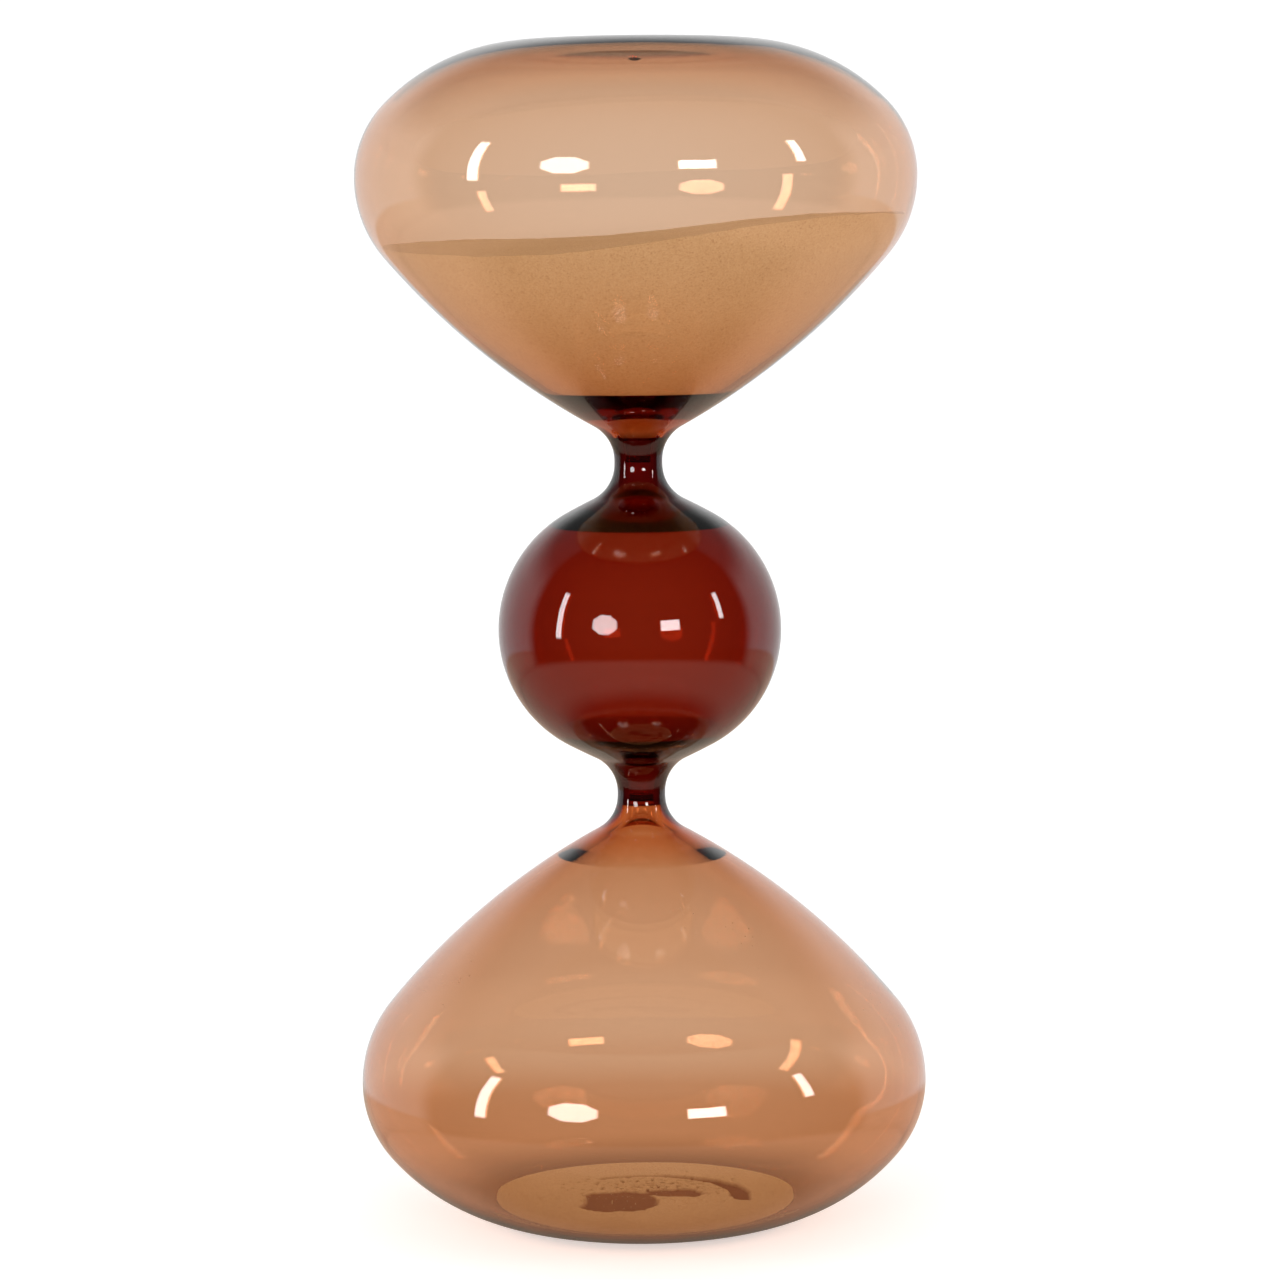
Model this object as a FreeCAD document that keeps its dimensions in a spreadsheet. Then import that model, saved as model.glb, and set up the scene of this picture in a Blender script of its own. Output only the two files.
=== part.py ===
import FreeCAD, Part
import Sketcher
import math
import os

# Three-bulb hourglass, sealed, with no frame. It stands on either of its flattened ends.
# The two end bulbs are the same kind of blown shape, one turned over and a little smaller. A dark
# centre bulb joins them through two necks, and a thin glass disc with one hole crosses each neck
# and meters the sand.
# Millimetres. Z runs up the axis of the glass, and the origin is the middle of the foot.

V = FreeCAD.Vector
doc = FreeCAD.newDocument("Hourglass")

# ---------------------------------------------------------------- driving dimensions

SIZES = [
    ("overall_height", 500.0),
    # outside of the end bulbs, heights from each bulb's own flat end
    ("lower_radius", 120.6), ("lower_belly", 59.2), ("lower_neck", 182.2), ("lower_weld", 178.0),
    ("upper_radius", 118.1), ("upper_belly", 56.9), ("upper_neck", 176.6), ("upper_weld", 166.0),
    ("crown_arc", 86.0), ("shoulder_arc", 44.2), ("belly_arc", 51.5), ("flank_arc", 311.0),
    ("fillet_arc", 16.2), ("ring_radius", 36.0), ("foot_hollow", 0.8),
    # necks and metering discs
    ("neck_radius", 10.2), ("neck_half", 0.8), ("bore_radius", 5.3),
    ("disc_thickness", 3.0), ("orifice_radius", 0.9),
    # glass thickness, and the place where the inside bends in and the glass thickens to the neck
    ("foot_wall", 2.8), ("floor_rise", 1.2), ("bend_arc", 7.0), ("inner_flank_arc", 290.0),
    ("lower_wall", 2.5), ("lower_bend", 35.0), ("lower_bend_height", 153.7), ("lower_inner_fillet", 18.0),
    ("upper_wall", 1.8), ("upper_bend", 39.3), ("upper_bend_height", 145.2), ("upper_inner_fillet", 22.0),
    # centre bulb
    ("centre_height", 252.2), ("centre_radius", 60.1), ("centre_wall", 3.0),
    ("over_belly_arc", 56.8), ("under_belly_arc", 55.0), ("centre_flank_arc", 300.0),
    ("centre_fillet_arc", 16.5), ("over_bend", 36.5), ("under_bend", 36.0), ("centre_bend_arc", 5.0),
    ("centre_inner_fillet", 22.0),
    # filling port in the upper bulb and the glass that seals it
    ("port_radius", 3.0), ("seal_bead", 1.2),
    # sand
    ("sand_gap", 0.25), ("lower_sand_depth", 1.0), ("sand_low", 85.4), ("sand_high", 73.1),
    ("ramp_start", -40.0), ("ramp_end", 94.0),
    ("bare_radius", 18.0), ("bare_left", 11.0), ("bare_front", 5.0),
]

sheet = doc.addObject("Spreadsheet::Sheet", "Sizes")
sheet.Label = "Sizes"
for row, (alias, number) in enumerate(SIZES, start=1):
    sheet.set("A%d" % row, alias)
    sheet.set("B%d" % row, str(number))
    sheet.setAlias("B%d" % row, alias)
doc.recompute()


class Size:
    """A length, kept together with the spreadsheet expression that gives it."""

    def __init__(self, value, text):
        self.value, self.text = value, text

    def __add__(self, other):
        return Size(self.value + other.value, "%s + %s" % (self.text, other.text))

    def __sub__(self, other):
        return Size(self.value - other.value, "%s - (%s)" % (self.text, other.text))


    def __rmul__(self, factor):
        return Size(factor * self.value, "%g * (%s)" % (factor, self.text))


def size(alias):
    return Size(float(sheet.get(alias)), "Sizes." + alias)


# ---------------------------------------------------------------- sketch helpers

START, END, CENTRE = 1, 2, 3
ORIGIN = (-1, 1)


class Outline:
    """A closed chain of lines and arcs, each joined to the one before it."""

    def __init__(self, body, name, plane="XZ_Plane"):
        self.sketch = body.newObject("Sketcher::SketchObject", name)
        for feature in body.Origin.OriginFeatures:
            if feature.Role == plane:
                self.sketch.AttachmentSupport = [(feature, "")]
        self.sketch.MapMode = "FlatFace"
        self.first = self.last = None

    def join(self, piece, smooth):
        index, start, end = piece
        if self.last is not None:
            kind = "Tangent" if smooth else "Coincident"
            self.rule(kind, self.last[0], self.last[2], index, start)
        else:
            self.first = piece
        self.last = piece
        return piece

    def line(self, p, q, smooth=False, lies=None):
        index = self.sketch.addGeometry(Part.LineSegment(V(p[0], p[1], 0), V(q[0], q[1], 0)), False)
        if lies:
            self.rule(lies, index)
        return self.join((index, START, END), smooth)

    def arc(self, centre, p, q, smooth=True, radius=None):
        """The short way round centre from p to q."""
        a = math.atan2(p[1] - centre[1], p[0] - centre[0])
        b = math.atan2(q[1] - centre[1], q[0] - centre[0])
        turn = (b - a + math.pi) % (2 * math.pi) - math.pi
        circle = Part.Circle(V(centre[0], centre[1], 0), V(0, 0, 1), math.dist(centre, p))
        if turn >= 0:
            index = self.sketch.addGeometry(Part.ArcOfCircle(circle, a, a + turn), False)
            piece = (index, START, END)
        else:
            index = self.sketch.addGeometry(Part.ArcOfCircle(circle, a + turn, a), False)
            piece = (index, END, START)
        self.join(piece, smooth)
        if radius is not None:
            self.measure("Radius", (index,), radius)
        return piece

    def close(self):
        self.rule("Coincident", self.last[0], self.last[2], self.first[0], self.first[1])

    def rule(self, kind, *refs):
        self.sketch.addConstraint(Sketcher.Constraint(kind, *refs))

    def measure(self, kind, refs, length):
        index = self.sketch.addConstraint(Sketcher.Constraint(kind, *refs, length.value))
        self.sketch.setExpression("Constraints[%d]" % index, length.text)

    def place(self, piece, end, x=None, height=None):
        """Dimension one end of a piece from the origin."""
        point = (piece[0], piece[end] if end in (START, END) else CENTRE)
        for kind, length in (("DistanceX", x), ("DistanceY", height)):
            if length is not None:
                self.measure(kind, ORIGIN + point, length)

    def on_axis(self, piece, end):
        self.rule("PointOnObject", piece[0], piece[end] if end in (START, END) else CENTRE, -2)


def add(p, q, k=1.0):
    return (p[0] + k * q[0], p[1] + k * q[1])


def toward(p, q):
    d = math.dist(p, q)
    return ((q[0] - p[0]) / d, (q[1] - p[1]) / d)


def circle_crossing(c1, r1, c2, r2, side):
    """One of the two points at r1 from c1 and r2 from c2."""
    d = math.dist(c1, c2)
    along = (r1 * r1 - r2 * r2 + d * d) / (2 * d)
    off = math.sqrt(r1 * r1 - along * along)
    ux, uy = toward(c1, c2)
    return (c1[0] + along * ux - side * off * uy, c1[1] + along * uy + side * off * ux)


def crown_points(radius, belly, crown, shoulder, floor):
    """Centres and joint of the two arcs that lead from a flat end round to the belly."""
    c_shoulder = (radius - shoulder, belly)
    drop = crown - (belly - floor)
    c_crown = (c_shoulder[0] - math.sqrt((crown - shoulder) ** 2 - drop ** 2), floor + crown)
    joint = add(c_shoulder, toward(c_crown, c_shoulder), shoulder)
    return c_crown, c_shoulder, joint


def flank_points(c_belly, belly_arc, flank, fillet, neck, top):
    """Centres and joints of the belly arc, the flank arc and the neck fillet of an outer skin."""
    c_neck = (neck + fillet, top)
    c_flank = circle_crossing(c_belly, flank - belly_arc, c_neck, flank + fillet, 1)
    joint_a = add(c_flank, toward(c_flank, c_belly), flank)
    joint_b = add(c_neck, toward(c_neck, c_flank), fillet)
    return c_flank, c_neck, joint_a, joint_b


def cone_points(end, c_last, bend, fillet, neck, top):
    """The bend that starts at end, and the straight cone from it to the fillet of a neck."""
    c_bend, c_neck = add(end, toward(end, c_last), bend), (neck + fillet, top)
    lean = math.atan2(c_neck[1] - c_bend[1], c_neck[0] - c_bend[0]) \
        - math.acos((bend + fillet) / math.dist(c_bend, c_neck))
    out = (math.cos(lean), math.sin(lean))
    return c_bend, c_neck, add(c_bend, out, bend), add(c_neck, out, -fillet)


def on_circle(centre, radius, height):
    """The point nearer the axis where a fillet reaches a height."""
    return (centre[0] - math.sqrt(radius ** 2 - (height - centre[1]) ** 2), height)


# ---------------------------------------------------------------- the end bulb's two skins

ZERO = Size(0.0, "0")


def outer_sizes(which):
    return {"radius": size(which + "_radius"), "belly": size(which + "_belly"), "floor": ZERO,
            "crown": size("crown_arc"), "shoulder": size("shoulder_arc"), "belly_arc": size("belly_arc"),
            "flank": size("flank_arc"), "fillet": size("fillet_arc"),
            "fillet_x": size("neck_radius") + size("fillet_arc"),
            "fillet_z": size(which + "_neck") - size("neck_half")}


def inner_sizes(which, gap=ZERO, floor=None):
    """Sizes of the inside, or of the sand's skin a gap inside that."""
    inset = size(which + "_wall") + gap
    floor = floor or size("foot_wall") + gap
    return {"radius": size(which + "_radius") - inset, "belly": size(which + "_belly"), "floor": floor,
            "crown": size("crown_arc") - floor, "shoulder": size("shoulder_arc") - inset,
            "belly_arc": size("belly_arc") - inset, "flank": size("inner_flank_arc") - gap,
            "fillet": size(which + "_inner_fillet") + gap, "bend": size("bend_arc") - gap,
            "bend_x": size(which + "_bend") - 0.55 * gap,
            "bend_z": size(which + "_bend_height") - 0.83 * gap,
            "fillet_x": size("bore_radius") + size(which + "_inner_fillet"),
            "fillet_z": size(which + "_neck") - size("disc_thickness")}


def skin_geometry(k):
    n = {key: item.value for key, item in k.items()}
    c_crown, c_shoulder, joint_c = crown_points(n["radius"], n["belly"], n["crown"], n["shoulder"], n["floor"])
    c_a = (n["radius"] - n["belly_arc"], n["belly"])
    g = {"crown": c_crown, "shoulder": c_shoulder, "joint_c": joint_c, "flat": (c_crown[0], n["floor"]),
         "belly": (n["radius"], n["belly"]), "a": c_a}
    neck = n["fillet_x"] - n["fillet"]
    if "bend" in n:
        g["end"] = (n["bend_x"], n["bend_z"])
        g["b"] = circle_crossing(c_a, n["flank"] - n["belly_arc"], g["end"], n["flank"], 1)
        g["joint_a"] = add(g["b"], toward(g["b"], c_a), n["flank"])
        g["bend"], g["n"], g["cone_a"], g["cone_b"] = cone_points(
            g["end"], g["b"], n["bend"], n["fillet"], neck, n["fillet_z"])
    else:
        g["b"], g["n"], g["joint_a"], g["joint_b"] = flank_points(
            c_a, n["belly_arc"], n["flank"], n["fillet"], neck, n["fillet_z"])
    return g


def place_belly(o, shoulder, end, k):
    o.place(shoulder, end, x=k["radius"], height=k["belly"])
    o.place(shoulder, CENTRE, height=k["belly"])


def neck_fillet(o, k, g, start, end, smooth=True):
    fillet = o.arc(g["n"], start, end, radius=k["fillet"], smooth=smooth)
    o.place(fillet, CENTRE, x=k["fillet_x"], height=k["fillet_z"])
    return fillet


def crown_up(o, k, g):
    """From the flat end round to the belly and up to the flank."""
    o.arc(g["crown"], g["flat"], g["joint_c"], radius=k["crown"])
    shoulder = o.arc(g["shoulder"], g["joint_c"], g["belly"], radius=k["shoulder"])
    place_belly(o, shoulder, END, k)
    o.arc(g["a"], g["belly"], g["joint_a"], radius=k["belly_arc"])


def outer_up(o, k, g, stop):
    """The outside, from the flat end to the height where its glass stops."""
    crown_up(o, k, g)
    o.arc(g["b"], g["joint_a"], g["joint_b"], radius=k["flank"])
    fillet = neck_fillet(o, k, g, g["joint_b"], on_circle(g["n"], k["fillet"].value, stop.value))
    o.place(fillet, END, height=stop)


def inner_up(o, k, g, stop):
    """The inside, or the sand against it, from the flat end to a height in the neck."""
    crown_up(o, k, g)
    flank = o.arc(g["b"], g["joint_a"], g["end"], radius=k["flank"])
    o.place(flank, END, x=k["bend_x"], height=k["bend_z"])
    o.arc(g["bend"], g["end"], g["cone_a"], radius=k["bend"])
    o.line(g["cone_a"], g["cone_b"], smooth=True)
    fillet = neck_fillet(o, k, g, g["cone_b"], on_circle(g["n"], k["fillet"].value, stop.value))
    o.place(fillet, END, height=stop)


def inner_down(o, k, g, start):
    """The inside from the weld back to the flat end."""
    neck_fillet(o, k, g, on_circle(g["n"], k["fillet"].value, start.value), g["cone_b"], smooth=False)
    o.line(g["cone_b"], g["cone_a"], smooth=True)
    o.arc(g["bend"], g["cone_a"], g["end"], radius=k["bend"])
    flank = o.arc(g["b"], g["end"], g["joint_a"], radius=k["flank"])
    o.place(flank, START, x=k["bend_x"], height=k["bend_z"])
    belly = o.arc(g["a"], g["joint_a"], g["belly"], radius=k["belly_arc"])
    place_belly(o, belly, END, k)
    o.arc(g["shoulder"], g["belly"], g["joint_c"], radius=k["shoulder"])
    o.arc(g["crown"], g["joint_c"], g["flat"], radius=k["crown"])


def revolve(body, outline, name):
    outline.close()
    feature = body.newObject("PartDesign::Revolution", name)
    feature.Profile = outline.sketch
    feature.ReferenceAxis = (outline.sketch, ["V_Axis"])
    feature.Angle = 360.0
    doc.recompute()
    return feature


def new_body(label, turned_over=False):
    """A body in its own frame. A turned-over one hangs from the top of the hourglass."""
    body = doc.addObject("PartDesign::Body", label)
    body.Label = label
    if turned_over:
        body.Placement = FreeCAD.Placement(V(0, 0, 0), FreeCAD.Rotation(V(0, 1, 0), 180))
        body.setExpression(".Placement.Base.z", "Sizes.overall_height")
    return body


def dished(o, inner, outer, rim_height, centre_height):
    """A shallow arc across the middle of a flat end, centred on the axis."""
    rise = centre_height.value - rim_height.value
    reach = max(inner, outer)
    radius = (reach ** 2 + rise ** 2) / (2 * rise)
    centre = (0.0, centre_height.value - radius)
    p = (inner, centre_height.value if inner == 0 else rim_height.value)
    q = (outer, centre_height.value if outer == 0 else rim_height.value)
    arc = o.arc(centre, p, q, smooth=False)
    o.on_axis(arc, CENTRE)
    return arc


def end_bulb(which, turned_over):
    body = new_body(which + "_bulb", turned_over)
    o = Outline(body, which + "_wall_outline")
    k_out, k_in = outer_sizes(which), inner_sizes(which)
    out, ins = skin_geometry(k_out), skin_geometry(k_in)
    ring, weld = size("ring_radius"), size(which + "_weld")
    floor_middle = size("foot_wall") + size("floor_rise")

    hollow = dished(o, 0.0, ring.value, ZERO, size("foot_hollow"))
    o.on_axis(hollow, START)
    o.place(hollow, START, height=size("foot_hollow"))
    o.line((ring.value, 0.0), out["flat"], lies="Horizontal")
    o.place(o.last, START, x=ring)
    o.rule("PointOnObject", o.last[0], START, -1)
    outer_up(o, k_out, out, weld)
    o.line(on_circle(out["n"], k_out["fillet"].value, weld.value),
           on_circle(ins["n"], k_in["fillet"].value, weld.value), lies="Horizontal")
    inner_down(o, k_in, ins, weld)
    o.line(ins["flat"], (ring.value, ins["flat"][1]), smooth=True, lies="Horizontal")
    o.place(o.last, END, height=size("foot_wall"))
    floor = dished(o, ring.value, 0.0, size("foot_wall"), floor_middle)
    o.place(floor, START, x=ring)
    o.on_axis(floor, END)
    o.place(floor, END, height=floor_middle)
    o.line((0.0, floor_middle.value), (0.0, size("foot_hollow").value))
    revolve(body, o, which + "_bulb_blown")
    return body


def drill_port(body):
    """The filling port: a hole through the middle of the bulb's end."""
    o = Outline(body, "port_circle", "XY_Plane")
    circle = o.sketch.addGeometry(Part.Circle(V(0, 0, 0), V(0, 0, 1), size("port_radius").value), False)
    o.rule("Coincident", circle, CENTRE, -1, 1)
    o.measure("Radius", (circle,), size("port_radius"))
    port = body.newObject("PartDesign::Pocket", "filling_port")
    port.Profile = o.sketch
    port.Reversed = True
    port.setExpression("Length", "Sizes.foot_wall + Sizes.floor_rise + 2")
    doc.recompute()


lower_bulb = end_bulb("lower", False)
upper_bulb = end_bulb("upper", True)
whole = upper_bulb.Shape.Volume
drill_port(upper_bulb)
assert upper_bulb.Shape.Volume < whole - 50.0, "the filling port cut nothing"


# ---------------------------------------------------------------- centre bulb

class Half:
    """One half of the centre bulb, from its belly through a neck to the weld beyond it.

    Heights are kept from the foot of the hourglass, so the lower half runs downward.
    """

    def __init__(self, which, over):
        up = which == "upper"
        self.sign = 1 if up else -1
        self.middle = size("centre_height")
        neck = size("overall_height") - size("upper_neck") if up else size("lower_neck")
        shift = (lambda k: neck - k) if up else (lambda k: neck + k)
        self.weld = size("overall_height") - size("upper_weld") if up else size("lower_weld")
        self.radius, self.inner = size("centre_radius"), size("centre_radius") - size("centre_wall")
        self.belly = size(over + "_belly_arc")
        self.inner_belly = self.belly - size("centre_wall")
        self.bend_x = size(over + "_bend")
        self.near = shift(size("neck_half"))                       # the bulb's side of the neck
        self.far = (neck + size("neck_half")) if up else (neck - size("neck_half"))
        self.far_in = (neck + size("disc_thickness")) if up else (neck - size("disc_thickness"))
        self.fillet, self.far_fillet = size("centre_fillet_arc"), size("fillet_arc")
        self.in_fillet, self.far_in_fillet = size("centre_inner_fillet"), size(which + "_inner_fillet")
        self.neck, self.bore = size("neck_radius"), size("bore_radius")
        self.flank, self.bend = size("centre_flank_arc"), size("centre_bend_arc")
        # worked out as if upward from the belly, then turned to the right side
        reach = abs(self.near.value - self.middle.value)
        c = (self.radius.value - self.belly.value, 0.0)
        c_flank, c_n, joint_a, joint_b = flank_points(
            c, self.belly.value, self.flank.value, self.fillet.value, self.neck.value, reach)
        end = (self.bend_x.value, math.sqrt(self.inner_belly.value ** 2 - (self.bend_x.value - c[0]) ** 2))
        c_bend, c_in, cone_a, cone_b = cone_points(
            end, c, self.bend.value, self.in_fillet.value, self.bore.value, reach)
        self.g = {name: (p[0], self.middle.value + self.sign * p[1]) for name, p in {
            "c": c, "flank": c_flank, "n": c_n, "joint_a": joint_a, "joint_b": joint_b, "end": end,
            "bend": c_bend, "in": c_in, "cone_a": cone_a, "cone_b": cone_b}.items()}
        self.g["far"] = (self.neck.value + self.far_fillet.value, self.far.value)
        self.g["far_in"] = (self.bore.value + self.far_in_fillet.value, self.far_in.value)
        self.belly_point = (self.radius.value, self.middle.value)
        self.inner_point = (self.inner.value, self.middle.value)
        self.weld_out = on_circle(self.g["far"], self.far_fillet.value, self.weld.value)
        self.weld_in = on_circle(self.g["far_in"], self.far_in_fillet.value, self.weld.value)

    def round_neck(self, o, centre, radius, x, height, start, end, smooth=True):
        arc = o.arc(centre, start, end, radius=radius, smooth=smooth)
        o.place(arc, CENTRE, x=x + radius, height=height)
        return arc

    def outside(self, o, away):
        """The outer skin between belly and weld, drawn away from the belly or toward it."""
        g = self.g
        near, far = (self.neck.value, self.near.value), (self.neck.value, self.far.value)
        if away:
            belly = o.arc(g["c"], self.belly_point, g["joint_a"], radius=self.belly)
            o.place(belly, START, x=self.radius, height=self.middle)
            o.place(belly, CENTRE, height=self.middle)
            o.arc(g["flank"], g["joint_a"], g["joint_b"], radius=self.flank)
            self.round_neck(o, g["n"], self.fillet, self.neck, self.near, g["joint_b"], near)
            o.line(near, far, smooth=True)
            last = self.round_neck(o, g["far"], self.far_fillet, self.neck, self.far, far, self.weld_out)
            o.place(last, END, height=self.weld)
        else:
            first = self.round_neck(o, g["far"], self.far_fillet, self.neck, self.far, self.weld_out, far)
            o.place(first, START, height=self.weld)
            o.line(far, near, smooth=True)
            self.round_neck(o, g["n"], self.fillet, self.neck, self.near, near, g["joint_b"])
            o.arc(g["flank"], g["joint_b"], g["joint_a"], radius=self.flank)
            o.arc(g["c"], g["joint_a"], self.belly_point, radius=self.belly)

    def inside(self, o, away):
        """The inner skin, in either direction."""
        g = self.g
        near, far = (self.bore.value, self.near.value), (self.bore.value, self.far_in.value)
        if away:
            belly = o.arc(g["c"], self.inner_point, g["end"], radius=self.inner_belly)
            o.place(belly, END, x=self.bend_x)
            o.arc(g["bend"], g["end"], g["cone_a"], radius=self.bend)
            o.line(g["cone_a"], g["cone_b"], smooth=True)
            self.round_neck(o, g["in"], self.in_fillet, self.bore, self.near, g["cone_b"], near)
            o.line(near, far, smooth=True)
            self.round_neck(o, g["far_in"], self.far_in_fillet, self.bore, self.far_in, far, self.weld_in)
        else:
            self.round_neck(o, g["far_in"], self.far_in_fillet, self.bore, self.far_in,
                            self.weld_in, far, smooth=False)
            o.line(far, near, smooth=True)
            self.round_neck(o, g["in"], self.in_fillet, self.bore, self.near, near, g["cone_b"])
            o.line(g["cone_b"], g["cone_a"], smooth=True)
            o.arc(g["bend"], g["cone_a"], g["end"], radius=self.bend)
            belly = o.arc(g["c"], g["end"], self.inner_point, radius=self.inner_belly)
            o.place(belly, START, x=self.bend_x)
            o.place(belly, END, x=self.inner, height=self.middle)
            o.place(belly, CENTRE, height=self.middle)


def centre_bulb():
    body = new_body("centre_bulb")
    o = Outline(body, "centre_wall_outline")
    under, over = Half("lower", "under"), Half("upper", "over")
    under.outside(o, False)
    over.outside(o, True)
    o.line(over.weld_out, over.weld_in, lies="Horizontal")
    over.inside(o, False)
    under.inside(o, True)
    o.line(under.weld_in, under.weld_out, lies="Horizontal")
    revolve(body, o, "centre_blown")
    return body


centre = centre_bulb()


# ---------------------------------------------------------------- orifice discs and port seal

def ring_disc(which, turned_over):
    """The metering disc across a neck, with its single hole."""
    label = which + "_orifice_disc"
    body = new_body(label, turned_over)
    o = Outline(body, label + "_section")
    near, far = size(which + "_neck") - size("disc_thickness"), size(which + "_neck")
    bore, rim = size("orifice_radius"), size("bore_radius")
    o.line((bore.value, near.value), (rim.value, near.value), lies="Horizontal")
    o.place(o.last, START, x=bore, height=near)
    o.line((rim.value, near.value), (rim.value, far.value), lies="Vertical")
    o.place(o.last, START, x=rim)
    o.line((rim.value, far.value), (bore.value, far.value), lies="Horizontal")
    o.place(o.last, START, height=far)
    o.line((bore.value, far.value), (bore.value, near.value), lies="Vertical")
    revolve(body, o, label + "_turned")
    return body


lower_disc = ring_disc("lower", False)
upper_disc = ring_disc("upper", True)


def port_seal():
    """Glass melted into the filling port: flush outside, a rounded bead inside."""
    body = new_body("port_seal", True)
    o = Outline(body, "seal_section")
    radius, bottom = size("port_radius"), size("foot_hollow")
    top = size("foot_wall") + size("floor_rise")
    bead = top + size("seal_bead")
    rise = size("seal_bead").value
    sphere = (radius.value ** 2 + rise ** 2) / (2 * rise)
    o.line((0.0, bottom.value), (radius.value, bottom.value), lies="Horizontal")
    o.place(o.last, START, height=bottom)
    o.on_axis(o.last, START)
    o.line((radius.value, bottom.value), (radius.value, top.value), lies="Vertical")
    o.place(o.last, END, x=radius, height=top)
    dome = o.arc((0.0, bead.value - sphere), (radius.value, top.value), (0.0, bead.value), smooth=False)
    o.on_axis(dome, CENTRE)
    o.on_axis(dome, END)
    o.place(dome, END, height=bead)
    o.line((0.0, bead.value), (0.0, bottom.value))
    revolve(body, o, "seal_bead")
    return body


seal = port_seal()


# ---------------------------------------------------------------- sand

def sand_cavity(body, which, floor):
    """The inside of an end bulb, a hair smaller all over, as a solid of revolution."""
    k = inner_sizes(which, size("sand_gap"), floor)
    g = skin_geometry(k)
    stop = size(which + "_neck") - size("disc_thickness") - size("sand_gap")
    o = Outline(body, which + "_sand_fill")
    o.line((0.0, floor.value), g["flat"], lies="Horizontal")
    o.place(o.last, START, height=floor)
    o.on_axis(o.last, START)
    inner_up(o, k, g, stop)
    o.line(on_circle(g["n"], k["fillet"].value, stop.value), (0.0, stop.value), lies="Horizontal")
    o.on_axis(o.last, END)
    o.line((0.0, stop.value), (0.0, floor.value))
    return revolve(body, o, which + "_sand_full")


def cut_side(body, outline, name):
    outline.close()
    cut = body.newObject("PartDesign::Pocket", name)
    cut.Profile = outline.sketch
    cut.Type = "Length"
    cut.Midplane = True
    cut.setExpression("Length", "Sizes.lower_radius * 3")
    before = body.Shape.Volume
    doc.recompute()
    assert body.Shape.Volume < before - 100.0, name + " cut nothing"


def upper_sand():
    """Sand in the upper bulb. Its top lies low on one side and rises in a soft ramp."""
    body = new_body("upper_sand", True)
    sand_cavity(body, "upper", size("foot_wall") + size("sand_gap"))
    # The body hangs upside down, so its own X runs the other way and its low sand is farther up
    # its own Z. Everything on the foot's side of the ramp line is empty glass.
    o = Outline(body, "sand_top_line")
    reach = Size(size("lower_radius").value * 1.2, "Sizes.lower_radius * 1.2")
    low, high = size("sand_low").value, size("sand_high").value
    x1, x2 = -size("ramp_start").value, -size("ramp_end").value
    o.line((-reach.value, 0.0), (reach.value, 0.0))
    o.rule("PointOnObject", o.last[0], o.last[START], -1)
    o.rule("Symmetric", o.last[0], START, o.last[0], END, -2)
    o.line((reach.value, 0.0), (reach.value, low), lies="Vertical")
    o.line((reach.value, low), (x1, low), lies="Horizontal")
    o.place(o.last, START, x=reach, height=size("sand_low"))
    half = (low - high) / 2
    run = (x1 - x2) / 2
    radius = (run ** 2 + half ** 2) / (2 * half)
    mid = ((x1 + x2) / 2, (low + high) / 2)
    first = o.arc((x1, low - radius), (x1, low), mid)
    second = o.arc((x2, high + radius), mid, (x2, high))
    o.rule("Equal", first[0], second[0])
    o.measure("DistanceX", ORIGIN + (first[0], first[START]), Size(x1, "-Sizes.ramp_start"))
    o.measure("DistanceX", (second[0], second[END], -1, 1), Size(-x2, "Sizes.ramp_end"))
    o.line((x2, high), (-reach.value, high), smooth=True, lies="Horizontal")
    o.place(o.last, END, height=size("sand_high"))
    o.line((-reach.value, high), (-reach.value, 0.0), lies="Vertical")
    cut_side(body, o, "above_the_sand")
    return body


def lower_sand():
    """A thin even layer on the floor of the lower bulb, blown bare in one patch."""
    body = new_body("lower_sand")
    floor = size("foot_wall") + size("floor_rise") + size("sand_gap")
    sand_cavity(body, "lower", floor)
    level = floor + size("lower_sand_depth")
    reach = Size(size("lower_radius").value * 1.2, "Sizes.lower_radius * 1.2")
    o = Outline(body, "sand_level_line")
    top = Size(size("lower_neck").value + 10, "Sizes.lower_neck + 10")
    o.line((-reach.value, level.value), (reach.value, level.value))
    o.place(o.last, END, x=reach, height=level)
    o.line((reach.value, level.value), (reach.value, top.value), lies="Vertical")
    o.line((reach.value, top.value), (-reach.value, top.value), lies="Horizontal")
    o.place(o.last, START, height=top)
    o.line((-reach.value, top.value), (-reach.value, level.value), lies="Vertical")
    o.rule("Symmetric", 0, 1, 0, 2, -2)
    cut_side(body, o, "above_the_level")

    patch = Outline(body, "bare_patch", "XY_Plane")
    where = V(-size("bare_left").value, -size("bare_front").value, 0)
    circle = patch.sketch.addGeometry(Part.Circle(where, V(0, 0, 1), size("bare_radius").value), False)
    patch.measure("Radius", (circle,), size("bare_radius"))
    patch.measure("DistanceX", (circle, CENTRE, -1, 1), size("bare_left"))
    patch.measure("DistanceY", (circle, CENTRE, -1, 1), size("bare_front"))
    bare = body.newObject("PartDesign::Pocket", "bare_floor")
    bare.Profile = patch.sketch
    bare.Reversed = True
    bare.setExpression("Length", "Sizes.foot_wall * 6")
    before = body.Shape.Volume
    doc.recompute()
    assert body.Shape.Volume < before - 100.0, "the bare patch cut nothing"
    return body


sand_above = upper_sand()
sand_below = lower_sand()

# ---------------------------------------------------------------- check and write

PIECES = [lower_bulb, upper_bulb, centre, lower_disc, upper_disc, seal, sand_above, sand_below]

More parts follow.
